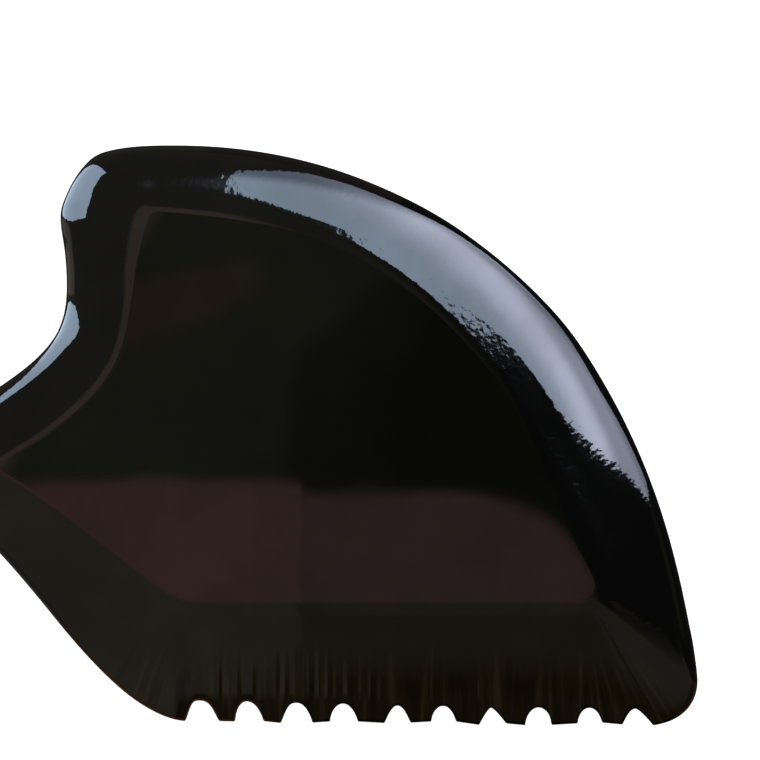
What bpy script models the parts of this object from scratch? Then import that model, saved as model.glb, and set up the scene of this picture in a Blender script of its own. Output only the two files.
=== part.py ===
"""Gua sha scraper: a palm-sized comb-edged plate, sawn, filed and polished from one piece of black horn.

The plate lies flat: +X along its length, +Y from the comb to the arched back, +Z up through its thickness.
The origin is under the middle of its box, on the surface that it lies on. Both faces are alike.

The outline is drawn in millimetres, from the middle of the length (X) and from the comb's tips (Y).
Rays join each point of the rim to the nearest point of a flat face's border. Along each ray the
half thickness follows one rule: a straight land at the rim, a rounded edge, then a slope up to the face.
"""

import math

import bmesh
import bpy
from mathutils import Vector

MM = 0.001

# Driving dimensions, in millimetres.
THICKNESS = 8.0
COMB_EDGE = 2.2
BLADE_EDGE = 2.6
BEAK_EDGE = 4.6
BACK_EDGE = 6.4
LAND = 0.4

# How fine the mesh is: steps along the rim, the border, a notch's side and a ray.
RIM_STEP = 2.0
BORDER_STEP = 0.4
NOTCH_SIDE_STEPS = 4
ROUNDING_STEPS = 4
SLOPE_STEPS = 3
MERGE = 0.05

# How the rim meets a face: the edge's thickness, and the width that its rounding takes.
COMB = (COMB_EDGE, 0.5)
BLADE = (BLADE_EDGE, 1.3)
BEAK = (BEAK_EDGE, 3.5)
NECK = (5.6, 5.2)
BAY = (BACK_EDGE, 6.0)
BACK = (BACK_EDGE, 7.0)
SHOULDER = (5.4, 7.0)
FLANK = (4.8, 5.5)
CORNER = (4.0, 4.2)
HEEL = (3.2, 1.8)

# The rim, clockwise from the comb's left end round to its right end: x, y, heading in degrees, edge.
RIM = (
    (-15.7, 0.5, 175, COMB),
    (-20.0, 1.9, 152, COMB),
    (-27.4, 7.9, 134, COMB),
    (-33.0, 14.3, 129, BLADE),
    (-39.0, 21.4, 132, BLADE),
    (-47.0, 29.0, 136, BEAK),
    (-50.9, 35.4, 90, BEAK),
    (-46.4, 40.5, 20, BEAK),
    (-39.0, 44.5, 35, NECK),
    (-32.8, 50.2, 56, BAY),
    (-31.1, 57.0, 90, BAY),
    (-31.4, 61.8, 97, BAY),
    (-31.9, 66.3, 87, BACK),
    (-31.0, 69.2, 66, BACK),
    (-28.2, 73.3, 44, BACK),
    (-26.0, 74.5, 15, BACK),
    (-16.9, 75.3, 0, BACK),
    (7.8, 70.7, -22, BACK),
    (20.2, 64.2, -35, BACK),
    (32.4, 53.5, -48, BACK),
    (38.8, 44.3, -60, BACK),
    (45.7, 29.2, -71, SHOULDER),
    (49.7, 13.7, -79, FLANK),
    (50.45, 9.8, -82, CORNER),
    (50.9, 6.0, -87, HEEL),
    (50.3, 3.1, -117, BLADE),
    (48.6, 1.2, -145, COMB),
    (45.1, -0.05, -172, COMB),
)

# The border of a flat face, clockwise from the corner inside the knob: x, y, heading.
FACE = (
    (-19.1, 66.8, -6),
    (0.5, 63.4, -20),
    (12.2, 57.1, -37),
    (22.6, 46.7, -51),
    (35.6, 22.7, -63),
    (37.5, 18.9, -67),
    (35.9, 16.3, 180),
    (-13.4, 16.3, 180),
    (-18.8, 18.1, 144),
    (-34.6, 29.8, 145),
    (-39.6, 33.0, 148),
    (-39.6, 34.1, 34),
    (-33.1, 38.0, 36),
    (-23.9, 48.5, 70),
    (-22.2, 59.1, 82),
    (-20.6, 65.8, 73),
)

# How a notch's side falls from its root to a tooth's tip: depth = (1 - reach ** a) ** b.
ROUND = (2.0, 0.55)
LEANING = (2.2, 0.85)
SLOPED = (2.0, 1.1)
SQUARE = (3.0, 1.5)
VEE = (1.3, 1.0)

# The hand-filed notches, left to right: left tip, root, right tip, left side, right side.
NOTCHES = (
    ((-15.7, 0.5), (-13.9, 3.2), (-11.2, 0.5), SQUARE, SQUARE),
    ((-9.2, 0.45), (-7.7, 3.1), (-5.5, 0.5), ROUND, LEANING),
    ((-3.3, 0.25), (-1.2, 2.9), (0.85, 0.3), SQUARE, LEANING),
    ((3.15, 0.45), (4.8, 2.8), (6.75, 0.45), ROUND, LEANING),
    ((10.2, 0.25), (11.9, 2.55), (13.6, 0.3), SLOPED, SLOPED),
    ((16.3, 0.45), (17.8, 2.5), (19.5, 0.45), ROUND, LEANING),
    ((22.5, 0.0), (24.0, 2.3), (26.0, 0.2), VEE, VEE),
    ((28.5, -0.05), (30.2, 2.3), (31.9, 0.0), ROUND, ROUND),
    ((35.3, 0.2), (36.8, 2.25), (38.5, 0.3), ROUND, LEANING),
    ((41.1, 0.05), (42.8, 2.15), (45.1, -0.05), SLOPED, VEE),
)


def arc(start, end, heading_in, heading_out, steps):
    """Points after start, up to end, on a curve as round as the turn between the two headings."""
    turn = math.radians((heading_out - heading_in + 180) % 360 - 180)
    reach = (end - start).length / 3 / math.cos(turn / 4) ** 2
    leave = Vector((math.cos(math.radians(heading_in)), math.sin(math.radians(heading_in)))) * reach
    arrive = Vector((math.cos(math.radians(heading_out)), math.sin(math.radians(heading_out)))) * reach
    points = []
    for i in range(1, steps + 1):
        t = i / steps
        points.append(
            start * (1 - t) ** 3
            + (start + leave) * 3 * t * (1 - t) ** 2
            + (end - arrive) * 3 * t**2 * (1 - t)
            + end * t**3
        )
    return points


def smooth(t):
    """A step from 0 to 1 that starts and ends level."""
    return t * t * (3 - 2 * t)


def rim_points():
    """The rim without the comb: (point, edge thickness, rounding width) for each point."""
    found = [(Vector(RIM[0][:2]), *RIM[0][3])]
    for a, b in zip(RIM, RIM[1:]):
        start, end = Vector(a[:2]), Vector(b[:2])
        steps = max(2, round((end - start).length / RIM_STEP))
        for i, point in enumerate(arc(start, end, a[2], b[2], steps)):
            t = smooth((i + 1) / steps)
            edge, rounding = (p + (q - p) * t for p, q in zip(a[3], b[3]))
            found.append((point, edge, rounding))
    return found


def notch_side(tip, root, side):
    """Points from a notch's root down to a tooth's tip, without the root."""
    a, b = side
    points = []
    for i in range(1, NOTCH_SIDE_STEPS + 1):
        reach = math.sin(math.pi / 2 * i / NOTCH_SIDE_STEPS)
        depth = (1 - reach**a) ** b
        points.append(Vector((root[0] + (tip[0] - root[0]) * reach, tip[1] + (root[1] - tip[1]) * depth)))
    return points


def comb_points():
    """The comb's edge from its right end to its left end, without the two ends."""
    points = []
    for left, root, right, left_side, right_side in reversed(NOTCHES):
        points += reversed(notch_side(right, root, right_side))
        points.append(Vector(root))
        points += notch_side(left, root, left_side)
    return [(point, *COMB) for point in points[1:-1]]


def border_points():
    """The face's border as closely spaced points."""
    found = []
    for a, b in zip(FACE, FACE[1:] + FACE[:1]):
        start, end = Vector(a[:2]), Vector(b[:2])
        found += arc(start, end, a[2], b[2], round((end - start).length / BORDER_STEP))
    return found


def nearest_on(border, point):
    """The point of a closed border that is nearest to a point."""
    best = None
    for a, b in zip(border, border[1:] + border[:1]):
        along = b - a
        t = min(max((point - a).dot(along) / along.length_squared, 0), 1)
        foot = a + along * t
        if best is None or (point - foot).length_squared < (point - best).length_squared:
            best = foot
    return best


def half_section(point, foot, edge, rounding, raised):
    """(x, y, half thickness) along one ray, from the rim to the face's border.

    raised is how far up the slope the ray starts: 0 at the rim, and more in a notch.
    """
    width = (foot - point).length
    land = LAND / 2
    round_height = edge / 2 - land
    slope_height = (THICKNESS - edge) / 2
    reaches = []
    for i in range(ROUNDING_STEPS + 1):
        angle = math.pi / 2 * i / ROUNDING_STEPS
        reaches.append((rounding * (1 - math.cos(angle)), round_height * math.sin(angle)))
    for i in range(1, SLOPE_STEPS + 1):
        reaches.append((rounding + (width - rounding) * i / SLOPE_STEPS, round_height))
    section = []
    for reach, height in reaches:
        place = point.lerp(foot, reach / width)
        up_slope = raised + (1 - raised) * reach / width
        section.append((place.x, place.y, land + height + slope_height * up_slope))
    return section


def sections():
    """A half section for each point of the whole outline."""
    border = border_points()
    face_line = min(p.y for p in border)
    rim = rim_points()
    rays = []
    for index, (point, edge, rounding) in enumerate(rim + comb_points()):
        foot = nearest_on(border, point)
        if rays and (foot - rays[-1][1]).length < MERGE:
            foot = rays[-1][1]
        raised = max(point.y, 0) / face_line if index >= len(rim) else 0
        rays.append((point, foot, edge, rounding, raised))
    return [half_section(*ray) for ray in rays]


def plate_mesh():
    """The plate as one closed mesh over the origin, its lower half the mirror of its upper half."""
    rows = sections()
    xs = [x for row in rows for x, _, _ in row]
    ys = [y for row in rows for _, y, _ in row]
    middle = Vector(((min(xs) + max(xs)) / 2, (min(ys) + max(ys)) / 2, -THICKNESS / 2))
    mesh = bmesh.new()
    upper, lower = (
        [[mesh.verts.new((Vector((x, y, side * z)) - middle) * MM) for x, y, z in row] for row in rows]
        for side in (1, -1)
    )
    for i in range(len(rows)):
        j = (i + 1) % len(rows)
        mesh.faces.new((upper[i][0], upper[j][0], lower[j][0], lower[i][0]))
        for half in (upper, lower):
            for k in range(len(rows[0]) - 1):
                mesh.faces.new((half[i][k], half[i][k + 1], half[j][k + 1], half[j][k]))
    bmesh.ops.remove_doubles(mesh, verts=mesh.verts, dist=MERGE * MM / 2)
    bmesh.ops.holes_fill(mesh, edges=[edge for edge in mesh.edges if edge.is_boundary])
    bmesh.ops.recalc_face_normals(mesh, faces=mesh.faces)
    return mesh


def polished_horn():
    """Black horn polished until it shines like lacquer."""
    material = bpy.data.materials.new("polished_black_horn")
    material.use_nodes = True
    shader = material.node_tree.nodes["Principled BSDF"]
    shader.inputs["Base Color"].default_value = (0.012, 0.010, 0.008, 1)
    shader.inputs["Roughness"].default_value = 0.12
    shader.inputs["Metallic"].default_value = 0
    return material


def main():
    for old in list(bpy.data.objects):
        bpy.data.objects.remove(old)
    data = bpy.data.meshes.new("scraper_plate")
    shape = plate_mesh()
    shape.to_mesh(data)
    shape.free()
    data.shade_smooth()
    data.set_sharp_from_angle(angle=math.radians(30))
    data.materials.append(polished_horn())
    plate = bpy.data.objects.new("scraper_plate", data)
    bpy.context.scene.collection.objects.link(plate)


main()
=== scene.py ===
"""The look of the gua sha scraper: a finely modelled, polished plate of black horn in a plain pale studio.

The plate is drawn in millimetres, from the middle of its length (X) and from its comb's tips (Y), and is
then moved over the frame's box. Rays join each point of the rim to the nearest point of a flat face's
border, and the half thickness follows one rule along each ray.

The polish is a mirror, so most of what the plate shows is the room around it. Two softboxes are real
panels, and the rest of the room is painted on the world as soft patches of colour.
"""

import math

import bpy
import numpy as np
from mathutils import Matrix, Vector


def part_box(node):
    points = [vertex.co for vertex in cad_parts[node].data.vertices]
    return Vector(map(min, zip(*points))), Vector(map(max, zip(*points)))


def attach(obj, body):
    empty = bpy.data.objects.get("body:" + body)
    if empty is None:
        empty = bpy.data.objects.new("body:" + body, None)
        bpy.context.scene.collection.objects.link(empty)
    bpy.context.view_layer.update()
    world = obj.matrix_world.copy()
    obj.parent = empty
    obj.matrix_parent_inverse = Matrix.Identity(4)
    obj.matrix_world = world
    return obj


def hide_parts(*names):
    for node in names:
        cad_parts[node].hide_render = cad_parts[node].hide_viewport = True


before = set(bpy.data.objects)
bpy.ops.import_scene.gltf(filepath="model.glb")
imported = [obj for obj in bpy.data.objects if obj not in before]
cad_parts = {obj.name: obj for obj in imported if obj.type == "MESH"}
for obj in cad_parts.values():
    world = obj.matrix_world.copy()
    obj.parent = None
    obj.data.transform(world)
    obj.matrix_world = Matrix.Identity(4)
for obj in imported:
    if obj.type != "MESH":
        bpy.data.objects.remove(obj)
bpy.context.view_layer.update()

NODE = "scraper_plate"
MM = 0.001
BOX_LOW, BOX_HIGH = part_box(NODE)
THICKNESS = (BOX_HIGH[2] - BOX_LOW[2]) / MM

# How fine the mesh is: steps in mm along its lines, and the most that the rim turns in a step, in degrees.
RIM_STEP = 0.6
RIM_TURN = 3.0
COMB_STEP = 0.12
BORDER_STEP = 0.04

# Counts of points: up a notch's side, and along a ray over its rounding, its slope and its crease.
NOTCH_SIDE_STEPS = 24
ROUNDING_STEPS = 10
SLOPE_STEPS = 10
CREASE_STEPS = 6

# A last ring of points lies on the flat face, this many mm inside its border.
FLAT_RING = 0.3

# The comb's corners are eased over this many mm, in this many samples. The comb's line takes in this many
# points of the rim at each end.
CORNER_EASE = 0.3
EASE_SAMPLES = 10
OVERLAP = 2

# The lengths, in mm, over which the comb fades into the rim and one kind of edge into the next.
COMB_END = 4.0
EDGE_BLEND = 3.0

# File marks above the comb: spacing and depth in mm, width as a share of the spacing, and where they fade
# out, by how far up the slope they are and by how thin the edge is.
FLUTE_SPACING = 0.62
FLUTE_DEPTH = 0.005
FLUTE_WIDTH = 0.6
FLUTE_SEED = 4
FLUTE_TOP = (0.62, 0.27)
FLUTE_THIN = (0.75, 0.95)

# The slope swells above the comb by this many mm, fading out over these stretches of its ends.
COMB_BULGE = 0.25
BULGE_LEFT = (-32, -12)
BULGE_RIGHT = (54, 32)

# A crease takes this share of its slope at most. A rounding this many mm high counts as thick.
WIDEST_CREASE = 0.8
THICK_ROUNDING = 2.4

# How the rim meets a face: straight land, rounding's height and width, width of the crease, all in mm,
# and how full the rounding is (2 is elliptical).
COMB = (0.98, 0.12, 0.12, 2.2, 2.0)
BLADE = (0.1, 1.2, 1.3, 1.2, 2.0)
BEAK = (0.02, 2.28, 3.5, 2.2, 2.4)
NECK = (0.02, 2.78, 5.2, 2.6, 2.6)
BAY = (0.02, 3.18, 6.0, 2.8, 2.6)
KNOB = (0.02, 3.18, 6.2, 3.0, 1.8)
BACK = (0.02, 3.18, 7.0, 1.6, 2.0)
SHOULDER = (0.02, 2.68, 7.0, 3.6, 2.0)
FLANK = (0.02, 2.38, 5.5, 3.0, 2.0)
CORNER = (0.02, 1.98, 4.2, 2.2, 2.0)
HEEL = (0.05, 1.55, 1.8, 2.2, 2.0)
TOE = (0.1, 1.2, 1.3, 2.2, 2.0)

# The rim, clockwise from the comb's left end round to its right end: x, y, heading in degrees, edge.
RIM = (
    (-15.7, 0.5, 175, COMB),
    (-20.0, 1.9, 152, COMB),
    (-27.4, 7.9, 134, COMB),
    (-33.0, 14.3, 129, BLADE),
    (-39.0, 21.4, 132, BLADE),
    (-47.0, 29.0, 136, BEAK),
    (-50.9, 35.4, 90, BEAK),
    (-46.4, 40.5, 20, BEAK),
    (-39.0, 44.5, 35, NECK),
    (-32.8, 50.2, 56, BAY),
    (-31.1, 57.0, 90, BAY),
    (-31.4, 61.8, 97, BAY),
    (-31.9, 66.3, 87, KNOB),
    (-31.0, 69.2, 66, KNOB),
    (-28.2, 73.3, 44, KNOB),
    (-26.0, 74.5, 15, KNOB),
    (-16.9, 75.3, 0, BACK),
    (7.8, 70.7, -22, BACK),
    (20.2, 64.2, -35, BACK),
    (32.4, 53.5, -48, BACK),
    (38.8, 44.3, -60, BACK),
    (45.7, 29.2, -71, SHOULDER),
    (49.7, 13.7, -79, FLANK),
    (50.45, 9.8, -82, CORNER),
    (50.9, 6.0, -87, HEEL),
    (50.3, 3.1, -117, TOE),
    (48.6, 1.2, -145, COMB),
    (45.1, -0.05, -172, COMB),
)

# The border of a flat face, clockwise from the corner inside the knob: x, y, heading.
FACE = (
    (-19.1, 66.8, -6),
    (0.5, 63.4, -20),
    (12.2, 57.1, -37),
    (22.6, 46.7, -51),
    (35.6, 22.7, -63),
    (37.5, 18.9, -67),
    (35.9, 16.3, 180),
    (-13.4, 16.3, 180),
    (-18.8, 18.1, 144),
    (-34.6, 29.8, 145),
    (-39.6, 33.0, 148),
    (-39.6, 34.1, 34),
    (-33.1, 38.0, 36),
    (-23.9, 48.5, 70),
    (-22.2, 59.1, 82),
    (-20.6, 65.8, 73),
)

# How a notch's side falls from its root to a tooth's tip: depth = (1 - reach ** a) ** b.
ROUND = (2.0, 0.55)
LEANING = (2.2, 0.85)
SLOPED = (2.0, 1.1)
SQUARE = (3.0, 1.5)
VEE = (1.3, 1.0)

# The hand-filed notches, left to right: left tip, root, right tip, left side, right side.
NOTCHES = (
    ((-15.7, 0.5), (-13.9, 3.2), (-11.2, 0.5), SQUARE, SQUARE),
    ((-9.2, 0.45), (-7.7, 3.1), (-5.5, 0.5), ROUND, LEANING),
    ((-3.3, 0.25), (-1.2, 2.9), (0.85, 0.3), SQUARE, LEANING),
    ((3.15, 0.45), (4.8, 2.8), (6.75, 0.45), ROUND, LEANING),
    ((10.2, 0.25), (11.9, 2.55), (13.6, 0.3), SLOPED, SLOPED),
    ((16.3, 0.45), (17.8, 2.5), (19.5, 0.45), ROUND, LEANING),
    ((22.5, 0.0), (24.0, 2.3), (26.0, 0.2), VEE, VEE),
    ((28.5, -0.05), (30.2, 2.3), (31.9, 0.0), ROUND, ROUND),
    ((35.3, 0.2), (36.8, 2.25), (38.5, 0.3), ROUND, LEANING),
    ((41.1, 0.05), (42.8, 2.15), (45.1, -0.05), SLOPED, VEE),
)

# The camera looks straight down, from this high over the plate's middle, at this place and at a view this
# wide, in metres. Its sensor is in mm.
CAMERA_HEIGHT = 0.9
CAMERA_PLACE = (0.00962, 0.00716)
VIEW_WIDTH = 0.0988
CLIP_END = 20.0
SENSOR_WIDTH = 36.0

# The pale table: how far it reaches and how far it lies under the plate, in metres, and its brightness.
TABLE_REACH = 3.0
TABLE_DROP = 0.0001
TABLE_GREY = (0.3, 0.3, 0.3, 1)
TABLE_GLOW = (1, 1, 1, 1)

# Horn's colours, and an amber glow painted into its thinnest edges to stand for light shining through them.
HORN_BLACK = (0.0001, 0.0001, 0.0001, 1)
HORN_BROWN = (0.0074, 0.0051, 0.0024, 1)
# Painted light: the amber stands for light shining through the thin horn, not for a colour of its surface.
PAINTED_AMBER_GLOW = (0.055, 0.015, 0.003, 1)

# Fibres: how the noise that makes them is stretched along the comb, up the slope and in from the edge, and
# the values of it that look brown and those that look worn.
FIBRE_STRETCH = (1.0, 1.2, 0.02)
FIBRE_BROWN = (0.5, 0.72)
FIBRE_WORN = (0.36, 0.48)

# Fibres fade out up the slope, raggedly, and past the comb's two ends (in mm).
FIBRE_TOP = (0.55, 0.9)
FIBRE_RAGGED = 0.6
FIBRE_LEFT = (-30.0, -21.0)
FIBRE_RIGHT = (46.0, 52.0)

# The painted amber glow, which stands for light shining through the thin horn, shows this close to the
# outline, at the comb's two ends (in mm).
AMBER_GLOW_DEPTH = (0.1, 0.4)
AMBER_GLOW_LEFT = (-10.0, -1.0)
AMBER_GLOW_RIGHT = (47.0, 50.0)

# The edges that were cut last: this close to the outline in mm, and this thin.
CUT_DEPTH = (0.2, 0.45)
CUT_THIN = (0.4, 0.8)

# Where hands polish the plate less evenly: on its thick parts and not on the flat face.
HANDLED_THIN = (0.05, 0.3)
HANDLED_UP = (0.75, 1.0)

# The polish: specular levels, how they vary (noise from and to, share from and to), roughness on the flat
# face and where hands hold it, and refraction.
SHINE = 0.5
WORN_SHINE = 0.36
CUT_SHARE = 0.15
SHINE_UNEVEN = (0.3, 0.7, 0.91, 1.09)
FACE_ROUGHNESS = 0.012
HANDLED_ROUGHNESS = 0.035
HORN_IOR = 1.55

# Relief left by polishing: its height in metres.
RIPPLE_HEIGHT = 0.0000065
SWELL_HEIGHT = 0.000012

# Noises: scale, detail and roughness. The first two are over the stretched fibres, and the rest over metres.
FIBRE_NOISE = (0.75, 1.5, 0.6)
RAGGED_NOISE = (0.4, 1.0, 0.5)
RIPPLE_NOISE = (1100.0, 1.5, 0.5)
SWELL_NOISE = (55.0, 1.0, 0.4)
SHINE_NOISE = (90.0, 3.0, 0.6)

# A mix node's sockets for colours, which come after those for numbers and vectors.
MIX_A = 6
MIX_B = 7
MIX_RESULT = 2

# The softboxes: corners as azimuth and zenith in degrees, on a ball one metre around the plate's place.
SOFTBOX_RIGHT = (
    (16.0, 75),
    (17.4, 45),
    (17.4, 30),
    (16.8, 15),
    (21.5, 11.9),
    (27, 11.6),
    (30, 11.4),
    (34, 11.1),
    (40, 10.8),
    (50, 10.7),
    (62, 11.2),
    (76, 14.6),
    (88.5, 22),
    (87.5, 40),
    (85, 50),
    (77, 69),
    (64, 80),
    (56, 92),
    (50, 104),
    (41, 96),
    (28, 82),
    (18, 94),
)
SOFTBOX_LEFT = (
    (127.5, 55),
    (131, 55.5),
    (136, 56.5),
    (142, 54.5),
    (147, 53),
    (151, 50),
    (157, 44.5),
    (162, 44),
    (166, 54),
    (171, 69),
    (173, 98),
    (172, 118),
    (165, 125),
    (150, 128),
    (139, 112),
    (129, 74),
)

# Their glow: its strength at low and high X, and the shares of it at the right end, left tip and horizon.
RIGHT_GLOW = (5.9, 10.6, 0.54, 0.43, 0.55)
LEFT_GLOW = (6.9, 6.9, 1.0, 1.0, 1.0)
BLUER = (0.62, 0.79, 1.0, 1)
COOL = (0.73, 0.79, 1.0, 1)

# Where that glow changes, by the direction from the plate: X for the climb, the right end and the blue, Y
# less half of X for the left tip, and Z for the horizon.
GLOW_CLIMB = (0.15, 0.5)
GLOW_RIGHT_END = (0.53, 0.75)
GLOW_LEFT_TIP = (0.55, 0.72)
GLOW_HORIZON = (0.05, 0.45)
GLOW_BLUE = (0.0, 0.5)

# What else the world shows: its brightness to the camera and to shading, the ground, the band of Z where
# the room fades into it, and the lowest Z down to which the room's patches spread out.
BACKDROP = (0.96, 0.97, 0.97, 1)
SHADING = (0.1, 0.1, 0.1, 1)
GROUND = (0.02, 0.02, 0.02, 1)
GROUND_FADE = (-0.9, -0.4)
LOWEST_Z = 0.02

# What the polish reflects near the zenith, painted in this order over a dim grey room. Each patch is a
# colour and the half planes that bound it, in a plane one unit up: heading, distance, softness.
ROOM_GREY = (0.174, 0.170, 0.148)
ROOM = (
    # The far end of the room, dim.
    ((0.13, 0.12, 0.105), ((-90, -1.6, 0.5), (180, -1.5, 1.0))),
    # The brown wall behind the knob, and the olive ceiling in front of it.
    ((0.50, 0.39, 0.31), ((150, 0.125, 0.02), (90, 0.085, 0.02), (0, -0.014, 0.008), (-90, 0.02, 0.01))),
    ((0.150, 0.161, 0.103), ((150, 0.0405, 0.002), (84, 0.026, 0.002), (-90, 0.03, 0.01))),
    (
        (0.250, 0.190, 0.125),
        ((101, 0.0206, 0.0015), (-65, -0.019, 0.0015), (180, 0.06, 0.01), (0, -0.018, 0.004)),
    ),
    # A faint spill of light beside the softbox.
    ((0.42, 0.43, 0.52), ((180, 0.0, 0.03), (0, 0.08, 0.03), (-90, -0.45, 0.06), (90, 0.66, 0.10))),
    # The darkness that the camera stands in.
    ((0.120, 0.130, 0.083), ((150, 0.012, 0.014), (84, 0.03, 0.01))),
    ((0.090, 0.098, 0.060), ((180, 0.0135, 0.002), (135, 0.0106, 0.002), (105, 0.0142, 0.002))),
    ((0.056, 0.062, 0.036), ((150, 0.000, 0.012), (105, 0.02, 0.005))),
    # The table's far side, red brown and then beige, darker on the right of the camera's stand.
    ((0.563, 0.31, 0.28), ((90, -0.0145, 0.0012), (0, -0.0118, 0.0002), (180, 0.3, 0.1))),
    (
        (0.43, 0.255, 0.23),
        ((90, -0.0158, 0.0016), (180, 0.0118, 0.0002), (73, -0.0114, 0.0016), (39.5, 0.0064, 0.0013)),
    ),
    ((0.27, 0.22, 0.18), ((90, -0.024, 0.006), (180, -0.033, 0.004))),
    ((0.31, 0.27, 0.20), ((90, -0.08, 0.045), (0, -0.0129, 0.0002), (140, 0.5, 0.2))),
    ((0.22, 0.19, 0.135), ((90, -0.08, 0.045), (180, 0.0129, 0.0002))),
    ((0.26, 0.23, 0.175), ((90, -0.12, 0.05), (180, -0.14, 0.12))),
    ((0.12, 0.085, 0.03), ((90, -0.385, 0.075), (180, 0.016, 0.016))),
    ((0.13, 0.095, 0.045), ((90, -0.51, 0.035), (163, 0.0, 0.04))),
    ((0.60, 0.52, 0.46), ((86, 0.0, 0.4), (0, -5.0, 2.0), (-86, 0.0, 0.4))),
    # The dark side of the room, its edge, and a dim strip low on it.
    ((0.07, 0.07, 0.065), ((180, -0.06, 0.035), (90, 0.16, 0.06), (-90, 0.0, 0.02))),
    (
        (0.045, 0.045, 0.043),
        (
            (155, -0.042, 0.003),
            (139, -0.0395, 0.003),
            (-135, 0.0, 0.02),
            (-69, 0.316, 0.02),
            (120, 0.9, 0.4),
        ),
    ),
    ((0.045, 0.045, 0.043), ((180, -1.5, 0.4), (-95, 0.0, 0.1), (155, 0.0, 0.5))),
    ((0.11, 0.12, 0.08), ((180, -2.6, 0.6), (0, 6.5, 1.5), (-81, 0.0, 0.12), (106, 0.0, 0.3))),
)


def direction(degrees):
    """The unit vector with this heading."""
    return np.array((math.cos(math.radians(degrees)), math.sin(math.radians(degrees))))


def ramp(values, start, end):
    """How far values are from start to end, from 0 to 1 and held beyond both."""
    return ((values - start) / (end - start)).clip(0, 1)


def smooth(t):
    """A step from 0 to 1 that starts and ends level."""
    return t * t * (3 - 2 * t)


def turn_between(heading_in, heading_out):
    """The signed turn from one heading to another, in degrees."""
    return (heading_out - heading_in + 180) % 360 - 180


def arc(start, end, heading_in, heading_out, steps):
    """Points after start, up to end, on a curve as round as the turn between the two headings."""
    start, end = np.array(start), np.array(end)
    turn = math.radians(turn_between(heading_in, heading_out))
    reach = np.linalg.norm(end - start) / 3 / math.cos(turn / 4) ** 2
    leave = start + direction(heading_in) * reach
    arrive = end - direction(heading_out) * reach
    t = np.arange(1, steps + 1)[:, None] / steps
    return start * (1 - t) ** 3 + leave * 3 * t * (1 - t) ** 2 + arrive * 3 * t**2 * (1 - t) + end * t**3


def distances(points):
    """How far along an open line each of its points is."""
    return np.concatenate(([0], np.cumsum(np.linalg.norm(np.diff(points, axis=0), axis=1))))


def blended(values, at):
    """Rows of values averaged over their neighbourhood on a line, which spreads out every kink."""
    share = np.exp(-(((at[:, None] - at) / EDGE_BLEND) ** 2)) * np.gradient(at)
    return share @ values / share.sum(axis=1)[:, None]


def rim_points():
    """The rim without the comb: points, and the edge at each."""
    points = [np.array([RIM[0][:2]])]
    edges = [np.array([RIM[0][3]])]
    for a, b in zip(RIM, RIM[1:]):
        length = math.dist(a[:2], b[:2])
        steps = math.ceil(max(length / RIM_STEP, abs(turn_between(a[2], b[2])) / RIM_TURN))
        points.append(arc(a[:2], b[:2], a[2], b[2], steps))
        t = np.arange(1, steps + 1)[:, None] / steps
        edges.append(np.array(a[3]) * (1 - t) + np.array(b[3]) * t)
    points = np.concatenate(points)
    return points, blended(np.concatenate(edges), distances(points))


def notch_side(tip, root, side):
    """Points from a notch's root down to a tooth's tip, without the root."""
    a, b = side
    reach = np.sin(np.pi / 2 * np.arange(1, NOTCH_SIDE_STEPS + 1) / NOTCH_SIDE_STEPS)
    depth = (1 - reach**a) ** b
    return np.stack((root[0] + (tip[0] - root[0]) * reach, tip[1] + (root[1] - tip[1]) * depth), axis=1)


def spaced(points, step):
    """Points at even steps along an open line, its two ends kept."""
    travelled = distances(points)
    at = np.linspace(0, travelled[-1], round(travelled[-1] / step) + 1)
    return np.stack([np.interp(at, travelled, points[:, i]) for i in (0, 1)], axis=1)


def comb_points(before, after):
    """The comb's edge from right to left between two short stretches of rim, with its corners eased."""
    line = [before]
    for left, root, right, left_side, right_side in reversed(NOTCHES):
        line.append(notch_side(right, root, right_side)[::-1])
        line.append([root])
        line.append(notch_side(left, root, left_side))
    fine = spaced(np.concatenate([*line, after]), CORNER_EASE / EASE_SAMPLES)
    window = np.hanning(2 * EASE_SAMPLES + 1)[1:-1]
    beyond = EASE_SAMPLES - 1
    fine = np.pad(fine, ((beyond, beyond), (0, 0)), mode="edge")
    eased = [np.convolve(fine[:, i], window / window.sum(), mode="valid") for i in (0, 1)]
    return spaced(np.stack(eased, axis=1), COMB_STEP)[1:-1]


def border_points():
    """The face's border as closely spaced points."""
    found = []
    for a, b in zip(FACE, FACE[1:] + FACE[:1]):
        steps = round(math.dist(a[:2], b[:2]) / BORDER_STEP)
        found.append(arc(a[:2], b[:2], a[2], b[2], steps))
    return np.concatenate(found)


def nearest_on(border, points):
    """For each point, the nearest point of a closed border."""
    gaps = np.linalg.norm(points[:, None] - border[None], axis=2)
    nearest = gaps.argmin(axis=1)
    best = border[nearest].copy()
    best_gap = gaps.min(axis=1)
    for step in (-1, 0):
        a = border[(nearest + step) % len(border)]
        b = border[(nearest + step + 1) % len(border)]
        along = b - a
        t = ((points - a) * along).sum(axis=1) / (along**2).sum(axis=1)
        foot = a + along * t.clip(0, 1)[:, None]
        gap = np.linalg.norm(points - foot, axis=1)
        closer = gap < best_gap
        best[closer] = foot[closer]
        best_gap = np.minimum(gap, best_gap)
    return best


def inward_normals(points):
    """The unit normals of a clockwise closed line, pointing inwards."""
    along = np.roll(points, -1, axis=0) - np.roll(points, 1, axis=0)
    normals = np.stack((along[:, 1], -along[:, 0]), axis=1)
    return normals / np.linalg.norm(normals, axis=1)[:, None]


def along_outline(rim, comb):
    """A running coordinate in mm: x along the comb, then on round the rim from each of its ends."""
    travelled = distances(rim)
    from_left = rim[0, 0] - travelled
    from_right = rim[-1, 0] + travelled[-1] - travelled
    nearer_left = travelled < travelled[-1] / 2
    return np.concatenate((np.where(nearer_left, from_left, from_right), comb[:, 0]))


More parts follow.
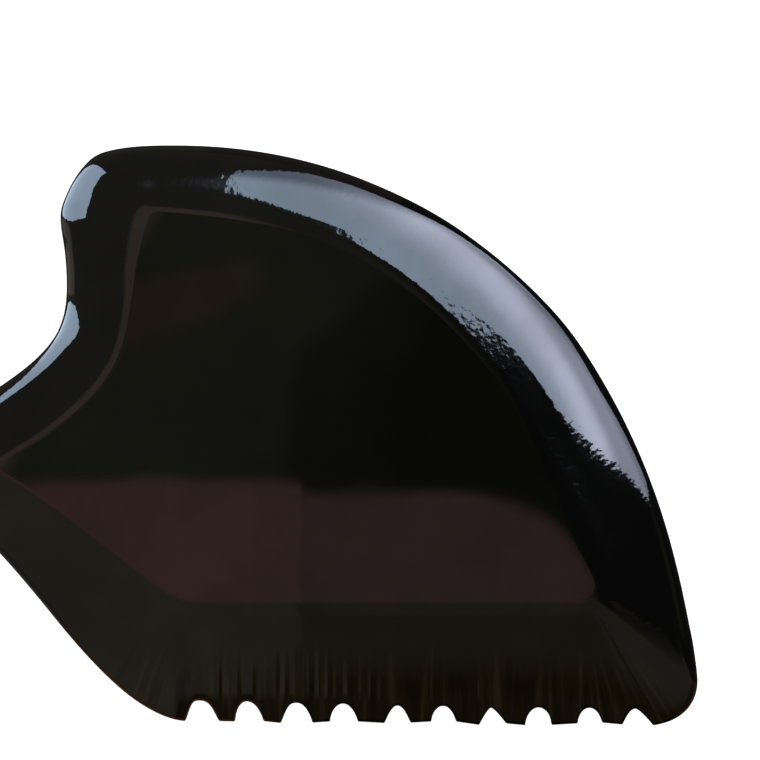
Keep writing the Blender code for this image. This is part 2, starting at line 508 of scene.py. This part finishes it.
def start_of_climb(rim, comb, face_line):
    """How far up the slope each ray starts: by height above the tips in the comb, easing off beside it."""
    beside = np.zeros(len(rim))
    for end in (rim[0], rim[-1]):
        beside += end[1] * (1 - np.linalg.norm(rim - end, axis=1) / COMB_END).clip(0)
    return np.concatenate((beside, comb[:, 1])) / face_line


def flutes(along, up, thin):
    """Shallow file marks that run from the comb up its slope and fade out, in mm of height."""
    middles = np.arange(along.min(), along.max(), FLUTE_SPACING)
    depths = np.random.default_rng(FLUTE_SEED).uniform(-1, 1, len(middles))
    bumps = np.exp(-(((along[:, None] - middles) / (FLUTE_WIDTH * FLUTE_SPACING)) ** 2))
    fade = ramp(up, *FLUTE_TOP) * ramp(thin, *FLUTE_THIN)
    return FLUTE_DEPTH * (bumps @ depths)[:, None] * fade


def comb_bulge(along, up):
    """How the slope swells above the comb, so that it steepens towards the tips, in mm of height."""
    middle = smooth(ramp(along, *BULGE_LEFT)) * smooth(ramp(along, *BULGE_RIGHT))
    greatest = 4 / 27
    return COMB_BULGE * up * (1 - up) ** 2 / greatest * middle[:, None]


def outline_points():
    """The closed outline as its rim and its comb, and the edge at each point."""
    rim, edges = rim_points()
    comb = comb_points(rim[-OVERLAP - 1 : -1], rim[1 : OVERLAP + 1])
    rim = rim[OVERLAP:-OVERLAP]
    edges = np.concatenate((edges[OVERLAP:-OVERLAP], np.tile(COMB, (len(comb), 1))))
    return rim, comb, edges


def ray_places(outline, inward, foot, edges):
    """Points along every ray, how far up the rounding each is (0 to 1), and each ray's crease width."""
    _, _, round_width, crease, fullness = edges.T
    angles = np.pi / 2 * np.arange(ROUNDING_STEPS + 1) / ROUNDING_STEPS
    power = 2 / fullness[:, None]
    reach = round_width[:, None] * (1 - np.cos(angles).clip(0) ** power)
    rounding = outline[:, None] + inward[:, None] * reach[..., None]
    inner = rounding[:, -1]
    slope_width = np.linalg.norm(foot - inner, axis=1)
    crease = np.minimum(crease, WIDEST_CREASE * slope_width)
    level = 1 - crease / slope_width
    slope_part = np.arange(1, SLOPE_STEPS + 1) / SLOPE_STEPS * level[:, None]
    crease_part = level[:, None] + np.arange(1, CREASE_STEPS + 1) / CREASE_STEPS * (1 - level)[:, None]
    fractions = np.concatenate((slope_part, crease_part), axis=1)
    slope = inner[:, None] + (foot - inner)[:, None] * fractions[..., None]
    risen = np.concatenate((np.sin(angles) ** power, np.ones(fractions.shape)), axis=1)
    return np.concatenate((rounding, slope), axis=1), risen, crease


def climb(up, bend):
    """The height gained by a slope, 0 to 1: straight up to the bend, then easing until it is level."""
    eased = up - (up - bend).clip(0) ** 2 / (2 * (1 - bend))
    return eased / ((1 + bend) / 2)


def with_flat_ring(border, foot, places, *values):
    """Every ray carried on to a last point on the flat face, with its values unchanged there."""
    to_middle = border.mean(axis=0) - foot
    flat_ring = foot + to_middle / np.linalg.norm(to_middle, axis=1)[:, None] * FLAT_RING
    carried = [np.concatenate((value, value[:, -1:]), axis=1) for value in values]
    return np.concatenate((places, flat_ring[:, None]), axis=1), *carried


def half_plate():
    """The upper half, one row for each ray, rim first: places, half thicknesses, grain and thinness.

    The grain is how far a point is along the comb (mm), up its slope (0 to 1) and in from the outline (mm).
    The thinness is that of the nearest edge (0 to 1).
    """
    rim, comb, edges = outline_points()
    outline = np.concatenate((rim, comb))
    land, round_height = edges.T[:2, :, None]
    border = border_points()
    foot = nearest_on(border, outline)
    width = np.linalg.norm(foot - outline, axis=1)
    inward = (foot - outline) / width[:, None]
    # In the comb the rounding starts square to the notches' own sides.
    inward[len(rim) :] = inward_normals(outline)[len(rim) :]
    places, risen, crease = ray_places(outline, inward, foot, edges)

    raised = start_of_climb(rim, comb, border[:, 1].min())
    left_to_climb = np.linalg.norm(places - foot[:, None], axis=2) / width[:, None]
    up = 1 - (1 - raised[:, None]) * left_to_climb
    bend = 1 - (1 - raised) * crease / width
    thin = np.broadcast_to(ramp(round_height, THICK_ROUNDING, 0), up.shape)
    along = along_outline(rim, comb)

    edge = land + round_height
    heights = edge - round_height * (1 - risen) + (THICKNESS / 2 - edge) * climb(up, bend[:, None])
    heights += flutes(along, up, thin)
    heights += comb_bulge(along, up)
    inwards = np.linalg.norm(places - outline[:, None], axis=2)
    grain = np.stack(np.broadcast_arrays(along[:, None], up, inwards), axis=2)
    return with_flat_ring(border, foot, places, heights, grain, thin)


def plate_points(places, heights):
    """The rim's middle line, the upper half and the lower half, in metres and over the frame's box."""
    outline = places[:, 0]
    shift = [(BOX_LOW[i] + BOX_HIGH[i]) / 2 / MM for i in range(3)]
    shift[0] -= (outline[:, 0].min() + outline[:, 0].max()) / 2
    shift[1] -= (outline[:, 1].min() + outline[:, 1].max()) / 2
    equator = np.concatenate((outline, np.zeros((len(outline), 1))), axis=1)
    upper = np.concatenate((places, heights[..., None]), axis=2).reshape(-1, 3)
    lower = upper * (1, 1, -1)
    return (np.concatenate((equator, upper, lower)) + shift) * MM


def plate_faces(rays, steps):
    """The faces of both halves: a grid of quads along the rays, and one flat face."""
    faces = []
    following = np.roll(np.arange(rays), -1)
    for half in (0, 1):
        grid = rays * (1 + half * steps) + np.arange(rays * steps).reshape(rays, steps)
        grid = np.concatenate((np.arange(rays)[:, None], grid), axis=1)
        quads = np.stack((grid[:, :-1], grid[:, 1:], grid[following, 1:], grid[following, :-1]), axis=2)
        cap = grid[:, -1]
        if half == 0:
            faces += quads.reshape(-1, 4).tolist() + [cap[::-1].tolist()]
        else:
            faces += quads[..., ::-1].reshape(-1, 4).tolist() + [cap.tolist()]
    return faces


def plate_mesh():
    """The whole plate as one closed mesh: two mirrored halves that share the rim's middle line."""
    places, heights, grain, thin = half_plate()
    mesh = bpy.data.meshes.new("polished_plate")
    mesh.from_pydata(plate_points(places, heights).tolist(), [], plate_faces(*heights.shape))
    mesh.validate()
    mesh.shade_smooth()

    grains = mesh.attributes.new("grain", "FLOAT_VECTOR", "POINT")
    whole = np.concatenate((grain[:, 0], grain.reshape(-1, 3), grain.reshape(-1, 3)))
    grains.data.foreach_set("vector", whole.astype(np.float32).ravel())
    thins = mesh.attributes.new("thin", "FLOAT", "POINT")
    whole = np.concatenate((thin[:, 0], thin.ravel(), thin.ravel()))
    thins.data.foreach_set("value", whole.astype(np.float32))
    return mesh


class Nodes:
    """Short ways to add and join the nodes of one tree."""

    def __init__(self, tree):
        self.tree = tree
        tree.nodes.clear()

    def add(self, kind, **settings):
        """A new node with these settings."""
        node = self.tree.nodes.new(kind)
        for name, value in settings.items():
            setattr(node, name, value)
        return node

    def join(self, source, target):
        """Link an output to an input, or give the input a plain value."""
        if isinstance(source, (int, float, tuple)):
            target.default_value = source
        else:
            self.tree.links.new(source, target)

    def show(self, shader, kind="ShaderNodeOutputMaterial"):
        """Make this shader the tree's surface."""
        self.join(shader, self.add(kind).inputs["Surface"])

    def split(self, vector):
        """The three components of a vector."""
        node = self.add("ShaderNodeSeparateXYZ")
        self.join(vector, node.inputs[0])
        return node.outputs

    def math(self, operation, a, b):
        """The result of one operation on two values."""
        node = self.add("ShaderNodeMath", operation=operation)
        self.join(a, node.inputs[0])
        self.join(b, node.inputs[1])
        return node.outputs[0]

    def product(self, first, *others):
        """All these values multiplied."""
        for other in others:
            first = self.math("MULTIPLY", first, other)
        return first

    def rise(self, value, low, high, out_low=0.0, out_high=1.0):
        """A value carried smoothly from low..high to out_low..out_high, and held beyond both."""
        node = self.add("ShaderNodeMapRange", interpolation_type="SMOOTHSTEP", clamp=True)
        names = ("Value", "From Min", "From Max", "To Min", "To Max")
        for name, item in zip(names, (value, low, high, out_low, out_high)):
            self.join(item, node.inputs[name])
        return node.outputs["Result"]

    def fall(self, value, low, high, left=0.0):
        """1 up to low, then smoothly down to what is left from high on."""
        return self.rise(value, low, high, 1.0, left)

    def noise(self, vector, scale, detail, roughness):
        """Soft noise about 0.5."""
        node = self.add("ShaderNodeTexNoise")
        self.join(vector, node.inputs["Vector"])
        self.join(scale, node.inputs["Scale"])
        self.join(detail, node.inputs["Detail"])
        self.join(roughness, node.inputs["Roughness"])
        return node.outputs["Fac"]

    def bump(self, height, distance, strength=1.0):
        """A node that tilts the surface by this relief."""
        node = self.add("ShaderNodeBump")
        self.join(height, node.inputs["Height"])
        self.join(distance, node.inputs["Distance"])
        self.join(strength, node.inputs["Strength"])
        return node

    def mix(self, factor, a, b):
        """Two colours mixed: a where the factor is 0, and b where it is 1."""
        node = self.add("ShaderNodeMix", data_type="RGBA")
        self.join(factor, node.inputs["Factor"])
        self.join(a, node.inputs[MIX_A])
        self.join(b, node.inputs[MIX_B])
        return node.outputs[MIX_RESULT]


def new_material(name):
    """An empty material, and its nodes."""
    material = bpy.data.materials.new(name)
    material.use_nodes = True
    return material, Nodes(material.node_tree)


def horn_colour(n, fibre, shown, along, inwards, thin):
    """Black, with brown fibres near the comb, and a painted amber glow of light shining through the thinnest
    edges at its ends.
    """
    colour = n.mix(n.product(n.rise(fibre, *FIBRE_BROWN), shown), HORN_BLACK, HORN_BROWN)
    # Painted light: amber where the edge is thin, standing for light shining through the horn at the comb's
    # ends.
    painted_rim_glow = n.product(n.fall(inwards, *AMBER_GLOW_DEPTH), thin)
    ends = n.math("ADD", n.fall(along, *AMBER_GLOW_LEFT), n.rise(along, *AMBER_GLOW_RIGHT))
    return n.mix(n.product(painted_rim_glow, ends), colour, PAINTED_AMBER_GLOW)


def horn_normal(n, place, handled):
    """The surface's direction, with a fine ripple where hands hold it and a slow swell everywhere."""
    ripple = n.bump(n.noise(place, *RIPPLE_NOISE), RIPPLE_HEIGHT, handled)
    swell = n.bump(n.noise(place, *SWELL_NOISE), SWELL_HEIGHT)
    n.join(ripple.outputs["Normal"], swell.inputs["Normal"])
    return swell.outputs["Normal"]


def horn_shine(n, place, fibre, shown, inwards, thin):
    """The specular level: less on worn fibres, much less on cut edges, and never quite even."""
    worn = n.product(n.fall(fibre, *FIBRE_WORN), shown)
    cut_edge = n.product(n.fall(inwards, *CUT_DEPTH), n.rise(thin, *CUT_THIN))
    uneven = n.rise(n.noise(place, *SHINE_NOISE), *SHINE_UNEVEN)
    shine = n.rise(worn, 0.0, 1.0, SHINE, WORN_SHINE)
    return n.product(shine, n.fall(cut_edge, 0.0, 1.0, CUT_SHARE), uneven)


def horn_material():
    """Polished black horn: browner fibres run into the comb, and the thinnest edges get a painted amber glow
    of light shining through them.
    """
    material, n = new_material("polished_horn")
    grain = n.add("ShaderNodeAttribute", attribute_name="grain").outputs["Vector"]
    thin = n.add("ShaderNodeAttribute", attribute_name="thin").outputs["Fac"]
    place = n.add("ShaderNodeTexCoord").outputs["Object"]
    along, up, inwards = n.split(grain)

    stretched = n.add("ShaderNodeVectorMath", operation="MULTIPLY")
    n.join(grain, stretched.inputs[0])
    n.join(FIBRE_STRETCH, stretched.inputs[1])
    fibre = n.noise(stretched.outputs[0], *FIBRE_NOISE)
    ragged = n.math("ADD", up, n.product(n.noise(stretched.outputs[0], *RAGGED_NOISE), FIBRE_RAGGED))
    above_comb = n.product(n.rise(along, *FIBRE_LEFT), n.fall(along, *FIBRE_RIGHT))
    shown = n.product(n.fall(ragged, *FIBRE_TOP), above_comb)
    handled = n.product(n.fall(thin, *HANDLED_THIN), n.fall(up, *HANDLED_UP))

    shader = n.add("ShaderNodeBsdfPrincipled")
    n.join(horn_colour(n, fibre, shown, along, inwards, thin), shader.inputs["Base Color"])
    n.join(horn_normal(n, place, handled), shader.inputs["Normal"])
    n.join(horn_shine(n, place, fibre, shown, inwards, thin), shader.inputs["Specular IOR Level"])
    roughness = n.rise(handled, 0.0, 1.0, FACE_ROUGHNESS, HANDLED_ROUGHNESS)
    n.join(roughness, shader.inputs["Roughness"])
    n.join(HORN_IOR, shader.inputs["IOR"])
    n.show(shader.outputs["BSDF"])
    return material


def glow_material(name, low_x, high_x, right_end, left_tip, horizon):
    """Cool emission, bluer at low X, with a strength that follows its direction from the plate.

    It climbs from low_x to high_x. The last three are the shares of it left at two ends and at the horizon.
    """
    material, n = new_material(name)
    outwards = n.add("ShaderNodeVectorMath", operation="NORMALIZE")
    n.join(n.add("ShaderNodeTexCoord").outputs["Object"], outwards.inputs[0])
    x, y, z = n.split(outwards.outputs[0])
    leftwards = n.math("SUBTRACT", y, n.product(x, 0.5))
    strength = n.product(
        n.rise(x, *GLOW_CLIMB, low_x, high_x),
        n.fall(x, *GLOW_RIGHT_END, right_end),
        n.fall(leftwards, *GLOW_LEFT_TIP, left_tip),
        n.rise(z, *GLOW_HORIZON, horizon, 1.0),
    )
    glow = n.add("ShaderNodeEmission")
    n.join(n.mix(n.rise(x, *GLOW_BLUE), BLUER, COOL), glow.inputs["Color"])
    n.join(strength, glow.inputs["Strength"])
    n.show(glow.outputs[0])
    return material


def towards(azimuth, zenith):
    """The point one metre from the plate's place: azimuth from +X towards +Y, zenith from +Z, in degrees."""
    flat = math.sin(math.radians(zenith))
    return (
        flat * math.cos(math.radians(azimuth)),
        flat * math.sin(math.radians(azimuth)),
        math.cos(math.radians(zenith)),
    )


def add_piece(name, mesh):
    """A mesh as an object in the scene."""
    piece = bpy.data.objects.new(name, mesh)
    bpy.context.scene.collection.objects.link(piece)
    return piece


def panel(name, corners, glow):
    """A glowing panel beside the plate that only reflections and shading see."""
    mesh = bpy.data.meshes.new(name)
    mesh.from_pydata([towards(*corner) for corner in corners], [], [range(len(corners))])
    mesh.materials.append(glow_material(name, *glow))
    piece = add_piece(name, mesh)
    piece.visible_camera = False
    piece.visible_shadow = False


def floor_material():
    """Matt, with a glow that keeps it white without any light on it."""
    material, n = new_material("pale_table")
    matt = n.add("ShaderNodeBsdfDiffuse")
    n.join(TABLE_GREY, matt.inputs["Color"])
    glow = n.add("ShaderNodeEmission")
    n.join(TABLE_GLOW, glow.inputs["Color"])
    both = n.add("ShaderNodeAddShader")
    n.join(matt.outputs[0], both.inputs[0])
    n.join(glow.outputs[0], both.inputs[1])
    n.show(both.outputs[0])
    return material


def floor():
    """The table that the plate lies on, left out of its reflections."""
    mesh = bpy.data.meshes.new("pale_table")
    quarters = ((-1, -1), (1, -1), (1, 1), (-1, 1))
    corners = [(x * TABLE_REACH, y * TABLE_REACH, -TABLE_DROP) for x, y in quarters]
    mesh.from_pydata(corners, [], [(0, 1, 2, 3)])
    mesh.materials.append(floor_material())
    piece = add_piece("pale_table", mesh)
    piece.visible_glossy = False


def painted_room(n, x, y):
    """The room's patches over its grey, by where a direction meets the plane one unit up."""
    colour = (*ROOM_GREY, 1)
    for paint, sides in ROOM:
        inside = 1.0
        for heading, distance, softness in sides:
            reach = n.math(
                "ADD",
                n.product(x, math.cos(math.radians(heading))),
                n.product(y, math.sin(math.radians(heading))),
            )
            inside = n.product(n.fall(reach, distance - softness, distance + softness), inside)
        colour = n.mix(inside, colour, (*paint, 1))
    return colour


def paint_world():
    """Pale where the camera sees it, a painted room where the polish does, and dim for everything else."""
    world = bpy.data.worlds.new("studio")
    bpy.context.scene.world = world
    world.use_nodes = True
    n = Nodes(world.node_tree)
    x, y, z = n.split(n.add("ShaderNodeTexCoord").outputs["Generated"])
    height = n.math("MAXIMUM", z, LOWEST_Z)
    colour = painted_room(n, n.math("DIVIDE", x, height), n.math("DIVIDE", y, height))
    colour = n.mix(n.fall(z, *GROUND_FADE), colour, GROUND)
    light_path = n.add("ShaderNodeLightPath")
    colour = n.mix(light_path.outputs["Is Diffuse Ray"], colour, SHADING)
    colour = n.mix(light_path.outputs["Is Camera Ray"], colour, BACKDROP)
    glow = n.add("ShaderNodeBackground")
    n.join(colour, glow.inputs["Color"])
    n.show(glow.outputs[0], "ShaderNodeOutputWorld")


def camera():
    """Straight above, far away, through a long lens."""
    data = bpy.data.cameras.new("camera")
    data.sensor_width = SENSOR_WIDTH
    data.lens = data.sensor_width * CAMERA_HEIGHT / VIEW_WIDTH
    data.clip_end = CLIP_END
    piece = add_piece("camera", data)
    piece.location = (*CAMERA_PLACE, CAMERA_HEIGHT + (BOX_LOW[2] + BOX_HIGH[2]) / 2)
    bpy.context.scene.camera = piece


plate = add_piece("polished_plate", plate_mesh())
plate.data.materials.append(horn_material())
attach(plate, "root")
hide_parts(NODE)

panel("softbox_right", SOFTBOX_RIGHT, RIGHT_GLOW)
panel("softbox_left", SOFTBOX_LEFT, LEFT_GLOW)
floor()
paint_world()
camera()

scene = bpy.context.scene
scene.view_settings.view_transform = "Standard"
